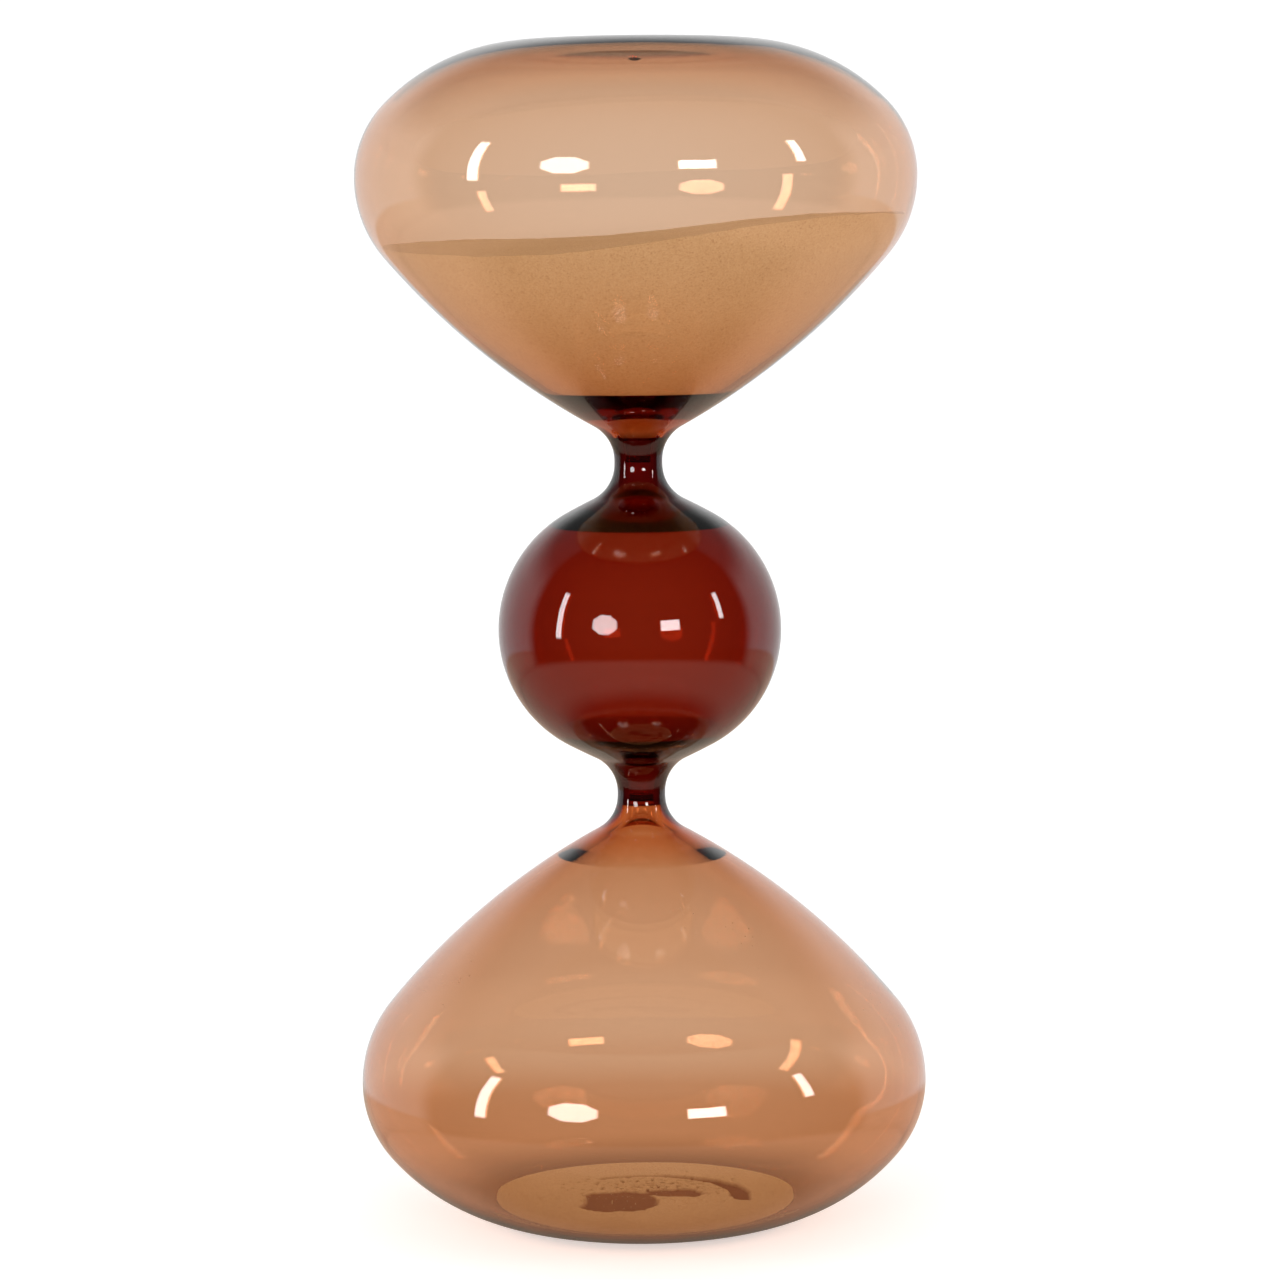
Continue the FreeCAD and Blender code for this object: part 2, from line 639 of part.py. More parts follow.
doc.recompute()
for item in doc.Objects:
    if "Invalid" in item.State or "Error" in item.State:
        raise RuntimeError("%s did not rebuild: %s" % (item.Label, item.State))
for item in doc.Objects:
    if item.TypeId == "Sketcher::SketchObject" and not item.FullyConstrained:
        print("free sketch:", item.Label)
for body in PIECES:
    shape = body.Shape
    if shape.isNull() or not shape.isValid() or len(shape.Solids) != 1:
        raise RuntimeError("%s is not one good solid" % body.Label)

os.makedirs("parts", exist_ok=True)
for body in PIECES:
    body.Shape.exportStep("parts/%s.step" % body.Label)
    box = body.Shape.BoundBox
    print("%-20s z %7.2f to %7.2f, radius %6.2f, %9.1f mm3" % (
        body.Label, box.ZMin, box.ZMax, box.XMax, body.Shape.Volume))
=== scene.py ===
import bpy
import math
import random
from mathutils import Matrix, Vector, noise


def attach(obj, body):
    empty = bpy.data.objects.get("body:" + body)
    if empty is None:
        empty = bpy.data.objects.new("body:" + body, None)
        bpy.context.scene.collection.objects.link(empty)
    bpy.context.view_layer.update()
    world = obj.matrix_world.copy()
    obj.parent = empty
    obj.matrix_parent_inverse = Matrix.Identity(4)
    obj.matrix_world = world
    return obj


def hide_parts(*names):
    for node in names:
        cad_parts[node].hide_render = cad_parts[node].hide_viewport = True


# Three-bulb hourglass of blown amber glass, with a dark centre bulb and pale sand.
# Metres. Z runs up the axis of the glass. The glass is turned from the same arcs as the solids.

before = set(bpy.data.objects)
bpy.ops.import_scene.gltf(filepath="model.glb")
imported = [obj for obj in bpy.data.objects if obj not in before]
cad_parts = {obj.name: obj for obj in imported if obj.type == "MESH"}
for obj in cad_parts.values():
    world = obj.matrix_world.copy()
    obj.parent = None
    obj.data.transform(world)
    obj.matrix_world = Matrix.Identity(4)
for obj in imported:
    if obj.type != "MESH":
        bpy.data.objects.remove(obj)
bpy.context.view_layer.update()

MM = 0.001
random.seed(7)
TURN = 288          # steps round the axis
FINE = 1.0        # how closely arcs are divided


# ------------------------------------------------------------------ outlines, in millimetres

def toward(p, q):
    d = math.dist(p, q)
    return ((q[0] - p[0]) / d, (q[1] - p[1]) / d)


def step(p, u, k):
    return (p[0] + k * u[0], p[1] + k * u[1])


def arc(centre, p, q, chord=1.2):
    """Points from p to q the short way round centre, without p."""
    a = math.atan2(p[1] - centre[1], p[0] - centre[0])
    b = math.atan2(q[1] - centre[1], q[0] - centre[0])
    turn = (b - a + math.pi) % (2 * math.pi) - math.pi
    radius = math.dist(centre, p)
    n = max(4, round(FINE * abs(turn) * max(radius / chord, 12)))
    return [(centre[0] + radius * math.cos(a + turn * i / n),
             centre[1] + radius * math.sin(a + turn * i / n)) for i in range(1, n + 1)]


def line(p, q, length=3.0):
    n = max(1, round(FINE * math.dist(p, q) / length))
    return [(p[0] + (q[0] - p[0]) * i / n, p[1] + (q[1] - p[1]) * i / n) for i in range(1, n + 1)]


def crossing(c1, r1, c2, r2, side):
    d = math.dist(c1, c2)
    along = (r1 * r1 - r2 * r2 + d * d) / (2 * d)
    off = math.sqrt(r1 * r1 - along * along)
    ux, uy = toward(c1, c2)
    return (c1[0] + along * ux - side * off * uy, c1[1] + along * uy + side * off * ux)


HEIGHT, NECK_R, BORE, DISC, NECK_HALF = 500.0, 10.2, 5.3, 3.0, 0.8
FOOT_WALL, FLOOR_RISE, FOOT_HOLLOW, RING = 2.8, 1.2, 0.8, 36.0
PORT_R, SEAL_BEAD = 3.0, 1.2
SEAM = 0.015                               # half the hairline between two pieces of glass
GAP = 0.25                                 # between sand and glass
ORIFICE_R = 0.9
LAYER = 1.0                                # depth of the sand in the lower bulb
ROUND = 2 * math.pi

# The end bulbs, heights from their own flat ends: belly, narrowest point of the neck, and the weld
# where the amber stops. bend is where the inside turns in and the wall thickens.
LOWER = {"radius": 120.6, "belly": 59.2, "neck": 182.2, "weld": 178.0,
         "wall": 2.5, "bend": (35.0, 153.7), "bend_r": 7.0, "fillet": 18.0}
UPPER = {"radius": 118.1, "belly": 56.9, "neck": 176.6, "weld": 166.0,
         "wall": 1.8, "bend": (39.3, 145.2), "bend_r": 7.0, "fillet": 22.0}
# the centre bulb, heights from its belly
MIDDLE, CENTRE_R, CENTRE_WALL, CENTRE_FLANK, CENTRE_FILLET = 252.2, 60.1, 3.0, 300.0, 16.5
OVER = {"belly_r": 56.8, "bend": 36.5, "bend_r": 5.0, "fillet": 22.0}
UNDER = {"belly_r": 55.0, "bend": 36.0, "bend_r": 5.0, "fillet": 22.0}


def shoulder_line(c_belly, radius, belly_r, flank, fillet, neck, top):
    """Outside from the belly to the neck: belly arc, flank arc and neck fillet, all tangent."""
    c_neck = (neck + fillet, top)
    c_flank = crossing(c_belly, flank - belly_r, c_neck, flank + fillet, 1)
    joint_a = step(c_flank, toward(c_flank, c_belly), flank)
    joint_b = step(c_neck, toward(c_neck, c_flank), fillet)
    points = arc(c_belly, (radius, c_belly[1]), joint_a) + arc(c_flank, joint_a, joint_b, 2.0) \
        + arc(c_neck, joint_b, (neck, top), 0.7)
    return points


def funnel(c_last, start, end, bend_r, fillet, neck, top):
    """Inside from start to the neck: an arc as far as end, a bend, a straight cone and a fillet."""
    c_bend, c_neck = step(end, toward(end, c_last), bend_r), (neck + fillet, top)
    lean = math.atan2(c_neck[1] - c_bend[1], c_neck[0] - c_bend[0]) \
        - math.acos((bend_r + fillet) / math.dist(c_bend, c_neck))
    out = (math.cos(lean), math.sin(lean))
    a, b = step(c_bend, out, bend_r), step(c_neck, out, -fillet)
    return arc(c_last, start, end, 2.0) + arc(c_bend, end, a, 0.5) + line(a, b, 1.5) \
        + arc(c_neck, b, (neck, top), 0.7)


FLANK, FILLET, BELLY_ARC, CROWN, SHOULDER = 311.0, 16.2, 51.5, 86.0, 44.2
INNER_FLANK = 290.0                        # tighter than the outside, so the wall grows toward the neck


def crown_line(radius, belly, shoulder_r, crown_r, floor):
    """From the flat end round to the belly."""
    shoulder = (radius - shoulder_r, belly)
    reach = math.sqrt((crown_r - shoulder_r) ** 2 - (crown_r - belly + floor) ** 2)
    crown = (shoulder[0] - reach, floor + crown_r)
    joint = step(shoulder, toward(crown, shoulder), shoulder_r)
    return [(crown[0], floor)] + arc(crown, (crown[0], floor), joint) + arc(shoulder, joint, (radius, belly))


def outer_skin(bulb):
    """Outside of an end bulb from its flat end to its neck."""
    c_belly = (bulb["radius"] - BELLY_ARC, bulb["belly"])
    return crown_line(bulb["radius"], bulb["belly"], SHOULDER, CROWN, 0.0) \
        + shoulder_line(c_belly, bulb["radius"], BELLY_ARC, FLANK, FILLET, NECK_R,
                        bulb["neck"] - NECK_HALF)


def inner_skin(bulb, gap=0.0):
    """Inside of an end bulb: a wall that grows slowly to the bend, then quickly to the neck."""
    inset, floor, flank = bulb["wall"] + gap, FOOT_WALL + gap, INNER_FLANK - gap
    c_belly = (bulb["radius"] - BELLY_ARC, bulb["belly"])
    end = (bulb["bend"][0] - 0.55 * gap, bulb["bend"][1] - 0.83 * gap)
    c_flank = crossing(c_belly, flank - BELLY_ARC + inset, end, flank, 1)
    joint = step(c_flank, toward(c_flank, c_belly), flank)
    points = crown_line(bulb["radius"] - inset, bulb["belly"], SHOULDER - inset, CROWN - floor, floor)
    points += arc(c_belly, points[-1], joint)
    return points + funnel(c_flank, joint, end, bulb["bend_r"] - gap, bulb["fillet"] + gap,
                           BORE - gap, bulb["neck"] - DISC)


def split(points, height):
    """The part of an outline below a height and the part above it."""
    for i, (p, q) in enumerate(zip(points, points[1:])):
        if p[1] < height <= q[1]:
            t = (height - p[1]) / (q[1] - p[1])
            cut = (p[0] + (q[0] - p[0]) * t, height)
            return points[:i + 1] + [cut], [cut] + points[i + 1:]


def wall_radius(side, z):
    """Radius of an outline that only rises, at a height."""
    for (r0, z0), (r1, z1) in zip(side, side[1:]):
        if z <= z1:
            return r0 + (r1 - r0) * max(0.0, z - z0) / max(z1 - z0, 1e-9)
    return side[-1][0]


def dished(rim, middle):
    """From the axis to the ring of a flat end, which is not quite flat inside it."""
    rise = middle - rim
    radius = (RING ** 2 + rise ** 2) / (2 * rise)
    return [(0.0, middle)] + arc((0.0, middle - radius), (0.0, middle), (RING, rim), 3.0)


INSIDE_LOWER = inner_skin(LOWER)


def floor_height(r):
    """Inner floor of the lower bulb at a distance from the axis."""
    rim, middle = FOOT_WALL, FOOT_WALL + FLOOR_RISE
    if r < RING:
        return rim + (middle - rim) * (1 - (r / RING) ** 2)
    pts = [(RING, rim)] + INSIDE_LOWER
    for (r0, z0), (r1, z1) in zip(pts, pts[1:]):
        if r0 <= r <= r1:
            return z0 + (z1 - z0) * (r - r0) / max(r1 - r0, 1e-9)
    return 1e9


def end_bulb_outline(bulb, port=False):
    """Closed outline of the glass: outside from the foot to the weld, then the inside back."""
    outside = split(outer_skin(bulb), bulb["weld"] - SEAM)[0]
    inside = split(inner_skin(bulb), bulb["weld"] - SEAM)[0]
    outer = dished(0.0, FOOT_HOLLOW) + line((RING, 0.0), outside[0]) + outside[1:]
    inner = inside[::-1] + line(inside[0], (RING, FOOT_WALL))
    inner += dished(FOOT_WALL, FOOT_WALL + FLOOR_RISE)[::-1][1:]
    if port:
        edge = PORT_R + SEAM
        outer = [(edge, FOOT_HOLLOW)] + [p for p in outer if p[0] > edge + 0.5 or p[1] > 20]
        inner = [p for p in inner if p[0] > edge + 0.5 or p[1] > 20] + [(edge, FOOT_WALL + FLOOR_RISE)]
    return outer + inner


def centre_half(bulb, half, reach):
    """Half of the centre bulb from its belly through the neck to the weld, outside and inside."""
    c = (CENTRE_R - half["belly_r"], 0.0)
    outside = shoulder_line(c, CENTRE_R, half["belly_r"], CENTRE_FLANK, CENTRE_FILLET, NECK_R,
                            reach - NECK_HALF)
    start, r = (CENTRE_R - CENTRE_WALL, 0.0), half["belly_r"] - CENTRE_WALL
    end = (half["bend"], math.sqrt(r ** 2 - (half["bend"] - c[0]) ** 2))
    inside = [start] + funnel(c, start, end, half["bend_r"], half["fillet"], BORE, reach - NECK_HALF)

    def past(skin):
        """The end bulb's neck beyond its weld, seen from here."""
        return [(r, reach + bulb["neck"] - z) for r, z in split(skin, bulb["weld"] + SEAM)[1]][::-1]

    return [(CENTRE_R, 0.0)] + outside + past(outer_skin(bulb)), inside + past(inner_skin(bulb))


def centre_outline():
    out_up, in_up = centre_half(UPPER, OVER, HEIGHT - UPPER["neck"] - MIDDLE)
    out_down, in_down = centre_half(LOWER, UNDER, MIDDLE - LOWER["neck"])

    def placed(points, way):
        return [(r, MIDDLE + way * z) for r, z in points]

    return placed(out_down, -1)[::-1] + placed(out_up, 1)[1:] + placed(in_up, 1)[::-1] \
        + placed(in_down, -1)[1:]


# ------------------------------------------------------------------ turning an outline into a mesh

def blown(r, z, a, depth):
    """Hand-blown glass is never quite round: a slow wave, inward only, of a fraction of a millimetre."""
    p = Vector((math.cos(a) * r, math.sin(a) * r, z)) / 55.0
    return depth * (0.5 + 0.5 * noise.noise(p)) * min(1.0, max(0.0, (r - 16.0) / 30.0))


def turned(name, outline, depth=0.0, flip=False, hole=False):
    """A solid of revolution, in metres. An outline that starts on the axis closes there."""
    verts, rows = [], []
    for r, z in outline:
        if r < 1e-6:
            rows.append([len(verts)])
            verts.append((0.0, 0.0, z))
        else:
            rows.append(list(range(len(verts), len(verts) + TURN)))
            for k in range(TURN):
                a = ROUND * k / TURN
                rr = r - blown(r, z, a, depth)
                verts.append((rr * math.cos(a), rr * math.sin(a), z))
    loop = len(rows[0]) > 1
    pairs = list(zip(rows, rows[1:] + rows[:1])) if loop else list(zip(rows, rows[1:]))
    faces = []
    for low, high in pairs:
        for k in range(TURN):
            n = (k + 1) % TURN
            if len(low) == 1 and len(high) == 1:
                break
            if len(low) == 1:
                faces.append((low[0], high[n], high[k]))
            elif len(high) == 1:
                faces.append((low[k], low[n], high[0]))
            else:
                faces.append((low[k], low[n], high[n], high[k]))
    if flip:
        verts = [(x, -y, HEIGHT - z) for x, y, z in verts]
    return mesh_object(name, verts, faces)


def mesh_object(name, verts, faces, sharp=35.0):
    mesh = bpy.data.meshes.new(name)
    mesh.from_pydata([(x * MM, y * MM, z * MM) for x, y, z in verts], [], faces)
    mesh.validate()
    mesh.shade_smooth()
    mesh.set_sharp_from_angle(angle=math.radians(sharp))
    mesh.update()
    obj = bpy.data.objects.new(name, mesh)
    bpy.context.scene.collection.objects.link(obj)
    return obj


def finish_piece(obj, material, slot, *nodes):
    obj.data.materials.append(material)
    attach(obj, "root")
    if nodes:
        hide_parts(*nodes)
    return obj


# ------------------------------------------------------------------ materials

def node_material(name):
    material = bpy.data.materials.new(name)
    material.use_nodes = True
    tree = material.node_tree
    tree.nodes.clear()
    return material, tree, tree.nodes.new("ShaderNodeOutputMaterial")


def glass(name, absorb, ripple=0.12):
    """Clear polished glass. absorb is what a metre of it takes out of red, green and blue, in nepers."""
    material, tree, out = node_material(name)
    body = tree.nodes.new("ShaderNodeBsdfPrincipled")
    body.inputs["Base Color"].default_value = (1, 1, 1, 1)
    body.inputs["Roughness"].default_value = 0.0
    body.inputs["IOR"].default_value = 1.5
    body.inputs["Transmission Weight"].default_value = 1.0
    density = max(absorb) * 1.05
    volume = tree.nodes.new("ShaderNodeVolumeAbsorption")
    volume.inputs["Density"].default_value = density
    volume.inputs["Color"].default_value = tuple(1 - k / density for k in absorb) + (1,)
    tree.links.new(body.outputs[0], out.inputs["Surface"])
    tree.links.new(volume.outputs[0], out.inputs["Volume"])
    # faint drawn ripples left by blowing
    coord = tree.nodes.new("ShaderNodeTexCoord")
    wave = tree.nodes.new("ShaderNodeTexNoise")
    wave.inputs["Scale"].default_value = 28.0
    wave.inputs["Detail"].default_value = 1.0
    bump = tree.nodes.new("ShaderNodeBump")
    bump.inputs["Strength"].default_value = ripple
    bump.inputs["Distance"].default_value = 0.0006
    tree.links.new(coord.outputs["Object"], wave.inputs["Vector"])
    tree.links.new(wave.outputs["Fac"], bump.inputs["Height"])
    tree.links.new(bump.outputs[0], body.inputs["Normal"])
    return material


def sand_material():
    """Fine dry sand of slightly different tans. Where the floor is scooped bare the sand turns dark brown:
    painted shade for the shaded floor under the foot, seen through the glass.
    """
    material, tree, out = node_material("dry_sand")
    new, link = tree.nodes.new, tree.links.new
    body = new("ShaderNodeBsdfPrincipled")
    body.inputs["Roughness"].default_value = 0.85
    body.inputs["Specular IOR Level"].default_value = 0.25
    coord = new("ShaderNodeTexCoord")

    def ramp(*stops):
        node = new("ShaderNodeValToRGB")
        for element, (place, colour) in zip(node.color_ramp.elements, (stops[0], stops[-1])):
            element.position, element.color = place, colour + (1,)
        for place, colour in stops[1:-1]:
            node.color_ramp.elements.new(place).color = colour + (1,)
        return node

    grain = new("ShaderNodeTexVoronoi")
    grain.inputs["Scale"].default_value = 1900.0
    link(coord.outputs["Object"], grain.inputs["Vector"])
    split = new("ShaderNodeSeparateColor")
    link(grain.outputs["Color"], split.inputs[0])
    tint = ramp((0.0, (0.72, 0.58, 0.39)), (0.06, (0.84, 0.72, 0.51)), (0.4, (0.89, 0.78, 0.56)),
                (1.0, (0.95, 0.86, 0.65)))
    link(split.outputs[0], tint.inputs[0])
    drift = new("ShaderNodeTexNoise")
    drift.inputs["Scale"].default_value = 22.0
    drift.inputs["Detail"].default_value = 4.0
    link(coord.outputs["Object"], drift.inputs["Vector"])
    shade = ramp((0.3, (0.94, 0.92, 0.89)), (0.7, (1.0, 1.0, 1.0)))
    link(drift.outputs["Fac"], shade.inputs[0])
    mix = new("ShaderNodeMix")
    mix.data_type, mix.blend_type = "RGBA", "MULTIPLY"
    mix.inputs["Factor"].default_value = 1.0
    link(tint.outputs[0], mix.inputs["A"])
    link(shade.outputs[0], mix.inputs["B"])
    bare = new("ShaderNodeAttribute")
    bare.attribute_name = "bare"
    # painted shade: dark brown where the sand is scooped bare, for the shaded floor under the foot seen
    # through the glass
    bare_shade_mix = new("ShaderNodeMix")
    bare_shade_mix.data_type = "RGBA"
    bare_shade_mix.inputs["B"].default_value = (0.42, 0.25, 0.17, 1)
    link(bare.outputs["Fac"], bare_shade_mix.inputs["Factor"])
    link(mix.outputs["Result"], bare_shade_mix.inputs["A"])
    link(bare_shade_mix.outputs["Result"], body.inputs["Base Color"])
    bump = new("ShaderNodeBump")
    bump.inputs["Strength"].default_value = 0.2
    bump.inputs["Distance"].default_value = 0.0003
    link(grain.outputs["Distance"], bump.inputs["Height"])
    link(bump.outputs[0], body.inputs["Normal"])
    link(body.outputs[0], out.inputs["Surface"])
    return material


AMBER = glass("amber_glass", (50.0, 167.0, 278.0))
DARK = glass("dark_red_glass", (245.0, 720.0, 980.0))
DISC_GLASS = glass("disc_glass", (150.0, 210.0, 230.0), ripple=0.0)
SAND = sand_material()


# ------------------------------------------------------------------ glass pieces

lower = turned("lower_bulb_glass", end_bulb_outline(LOWER), depth=0.16)
finish_piece(lower, AMBER, "amber_glass", "lower_bulb")
upper = turned("upper_bulb_glass", end_bulb_outline(UPPER, port=True), depth=0.16, flip=True)
finish_piece(upper, AMBER, "amber_glass", "upper_bulb")
centre = turned("centre_bulb_glass", centre_outline(), depth=0.12)
finish_piece(centre, DARK, "dark_glass", "centre_bulb")


def disc_outline(neck):
    """The metering disc across a neck, with softened edges and its single hole."""
    hole, rim, e = ORIFICE_R, BORE - 0.02, 0.25
    low, high = neck - DISC + 0.02, neck - SEAM
    return [(hole, low + e), (hole + e, low)] + line((hole + e, low), (rim - e, low), 1.0) \
        + [(rim, low + e), (rim, high - e), (rim - e, high), (hole + e, high), (hole, high - e)]


for name, node, bulb in (("lower_disc_glass", "lower_orifice_disc", LOWER),
                         ("upper_disc_glass", "upper_orifice_disc", UPPER)):
    disc = turned(name, disc_outline(bulb["neck"]), flip=bulb is UPPER)
    finish_piece(disc, DISC_GLASS, "disc_glass", node)

SEAL_TOP = FOOT_WALL + FLOOR_RISE
seal_curve = (PORT_R ** 2 + SEAL_BEAD ** 2) / (2 * SEAL_BEAD)
seal_outline = [(0.0, FOOT_HOLLOW)] + line((0.0, FOOT_HOLLOW), (PORT_R - 0.4, FOOT_HOLLOW), 1.0) \
    + arc((PORT_R - 0.4, FOOT_HOLLOW + 0.4), (PORT_R - 0.4, FOOT_HOLLOW), (PORT_R, FOOT_HOLLOW + 0.4), 0.3) \
    + line((PORT_R, FOOT_HOLLOW + 0.4), (PORT_R, SEAL_TOP), 1.0) \
    + arc((0.0, SEAL_TOP + SEAL_BEAD - seal_curve), (PORT_R, SEAL_TOP), (0.0, SEAL_TOP + SEAL_BEAD), 0.4)
seal = turned("port_seal_glass", seal_outline, flip=True)
finish_piece(seal, AMBER, "amber_glass", "port_seal")


# ------------------------------------------------------------------ sand

def sand_line(x, y):
    """Height of the upper sand's surface: low at the left, then a long soft ramp to the right."""
    t = min(1.0, max(0.0, (x + 40.0) / 140.0))
    ramp = 414.6 + 12.3 * t * t * (3 - 2 * t)
    lean = 0.016 * y * (1 - t)
    hollow = -2.0 * math.exp(-((x + 52) ** 2 + (y + 70) ** 2) / 1500.0)
    ripple = 0.35 * noise.noise(Vector((x, y, 0)) / 18.0) + 0.2 * noise.noise(Vector((x, y, 9)) / 6.0)
    return ramp + lean + hollow + ripple


def upper_sand():
    """Sand against the inside of the glass from the metering disc up, with its own loose top."""
    wall = inner_skin(UPPER, GAP)
    side = [(r, HEIGHT - z) for r, z in split(wall, UPPER["neck"] - DISC - GAP)[0] if z > 62.0][::-1]
    verts, rows = [(0.0, 0.0, side[0][1])], []
    surface = {}
    for k in range(TURN):
        a = ROUND * k / TURN
        # where the wall meets the sand's surface in this direction
        for (r0, z0), (r1, z1) in zip(side, side[1:]):
            r = r1
            if z1 >= sand_line(r1 * math.cos(a), r1 * math.sin(a)):
                break
        low, high = 0.0, 1.0
        for _ in range(20):
            t = (low + high) / 2
            r, z = r0 + (r1 - r0) * t, z0 + (z1 - z0) * t
            low, high = (t, high) if z < sand_line(r * math.cos(a), r * math.sin(a)) else (low, t)
        surface[k] = (r, z)
    count = len(side)
    for i in range(count):
        row = []
        for k in range(TURN):
            a = ROUND * k / TURN
            top_r, top_z = surface[k]
            z = side[0][1] + (top_z - side[0][1]) * i / (count - 1)
            r = wall_radius(side, z)
            grit = 0.12 * noise.noise(Vector((r * math.cos(a), r * math.sin(a), z)) / 1.1) - 0.12
            row.append(len(verts))
            verts.append(((r + grit) * math.cos(a), (r + grit) * math.sin(a), z))
        rows.append(row)
    rings = max(12, round(110 * FINE))
    for i in range(rings - 1, 0, -1):
        row = []
        for k in range(TURN):
            a = ROUND * k / TURN
            r = surface[k][0] * i / rings
            x, y = r * math.cos(a), r * math.sin(a)
            row.append(len(verts))
            verts.append((x, y, sand_line(x, y) + 0.12 * noise.noise(Vector((x, y, 3)) / 1.3)))
        rows.append(row)
    peak = len(verts)
    verts.append((0.0, 0.0, sand_line(0, 0)))
    faces = [(0, rows[0][(k + 1) % TURN], rows[0][k]) for k in range(TURN)]
    for low, high in zip(rows, rows[1:]):
        faces += [(low[k], low[(k + 1) % TURN], high[(k + 1) % TURN], high[k]) for k in range(TURN)]
    faces += [(rows[-1][k], rows[-1][(k + 1) % TURN], peak) for k in range(TURN)]
    return mesh_object("upper_sand_fill", verts, faces, 60.0)


finish_piece(upper_sand(), SAND, "sand", "upper_sand")


def bare_depth(x, y):
    """How far the lower sand is scooped down at a place: one patch, one curved sweep and crumbs."""
    wobble = 3.2 * noise.noise(Vector((x, y, 5)) / 9.0) + 1.3 * noise.noise(Vector((x, y, 1)) / 2.5)
    patch = 16.5 + wobble - math.hypot((x + 11.0) * 0.95, (y + 9.0) * 1.05)
    lobe = 8.0 + wobble - math.hypot((x - 13.0) * 0.6, y - 2.0)
    angle = math.degrees(math.atan2(y, x))
    width = 4.2 - max(0.0, angle - 12.0) / 33.0 if -10 < angle < 122 else -3.0
    sweep = width + 0.4 * wobble - abs(math.hypot(x, y) - 41.0 + 0.03 * angle)
    crumbs = 6.0 * noise.noise(Vector((x, y, 9)) / 2.2) - 0.6 - 0.12 * math.hypot((x - 5.0) * 0.6, y - 18.0)
    return max(patch, lobe, sweep, crumbs)


def lower_sand():
    """A thin layer on the floor. Where it is scooped away only a thin film is left, coloured dark brown by
    the sand material as painted shade for the shaded floor seen through the glass.
    """
    level = FOOT_WALL + FLOOR_RISE + GAP + LAYER
    edge = wall_radius(INSIDE_LOWER, level) - GAP
    rings, tops, floors, thin = max(20, round(190 * FINE)), [], [], []
    for i in range(rings + 1):
        r = edge * i / rings
        for k in range(TURN if i else 1):
            a = ROUND * k / TURN
            x, y = r * math.cos(a), r * math.sin(a)
            base = floor_height(r) + 0.08
            scoop = min(1.0, max(0.0, 0.5 + bare_depth(x, y) / 1.6))
            top = level - 0.25 + 0.2 * noise.noise(Vector((x, y, 2)) / 10.0) \
                + 0.08 * noise.noise(Vector((x, y, 4)) / 1.2)
            tops.append((x, y, max(base + 0.06, top - scoop * (level - base))))
            floors.append((x, y, base))
            thin.append(scoop)
    count = len(tops)
    cells = [[0, 1 + k, 1 + (k + 1) % TURN] for k in range(TURN)]
    for i in range(rings - 1):
        low, high = 1 + i * TURN, 1 + (i + 1) * TURN
        cells += [[low + k, high + k, high + (k + 1) % TURN, low + (k + 1) % TURN] for k in range(TURN)]
    rim = 1 + (rings - 1) * TURN
    faces = cells + [[n + count for n in cell[::-1]] for cell in cells]
    faces += [[rim + (k + 1) % TURN, rim + k, rim + k + count, rim + (k + 1) % TURN + count]
              for k in range(TURN)]
    obj = mesh_object("lower_sand_layer", tops + floors, faces, 60.0)
    # how far each point is scooped bare; the sand material paints shade there from it
    bare = obj.data.attributes.new("bare", "FLOAT", "POINT")
    bare.data.foreach_set("value", thin + thin)
    return obj


finish_piece(lower_sand(), SAND, "sand", "lower_sand")


def grains():
    """Loose grains: on the bare floor, and a few clinging inside the lower bulb's shoulder."""
    verts, faces = [], []

    def grain(x, y, z, r):
        base = len(verts)
        turn = random.random() * 6.28        # a whole turn
        for dx, dy, dz in ((1, 0, 0), (-1, 0, 0), (0, 1, 0), (0, -1, 0), (0, 0, 1), (0, 0, -1)):
            cos, sin = math.cos(turn), math.sin(turn)
            k = r * random.uniform(0.75, 1.15)
            verts.append((x + k * (dx * cos - dy * sin), y + k * (dx * sin + dy * cos), z + k * dz))
        for a, b in ((0, 2), (2, 1), (1, 3), (3, 0)):
            faces.append((base + a, base + b, base + 4))
        for a, b in ((2, 0), (1, 2), (3, 1), (0, 3)):
            faces.append((base + a, base + b, base + 5))

    for _ in range(60):
        x, y = random.gauss(-11, 11), random.gauss(-3, 11)
        if bare_depth(x, y) > 0.2:
            r = random.uniform(0.16, 0.34)
            grain(x, y, floor_height(math.hypot(x, y)) + r * 0.9, r)
    clusters = ((-58, 128, 16), (-20, 96, 12), (-150, 110, 8), (75, 118, 14), (160, 90, 8))
    for bearing, height, count in clusters:
        for _ in range(count):
            a = math.radians(random.gauss(bearing, 5))
            z = random.gauss(height, 6)
            r = random.uniform(0.16, 0.36)
            d = wall_radius(INSIDE_LOWER, z) - 0.1 - r
            grain(d * math.cos(a), d * math.sin(a), z, r)
    return mesh_object("loose_grains", verts, faces, 180.0)


finish_piece(grains(), SAND, "sand")


# ------------------------------------------------------------------ light

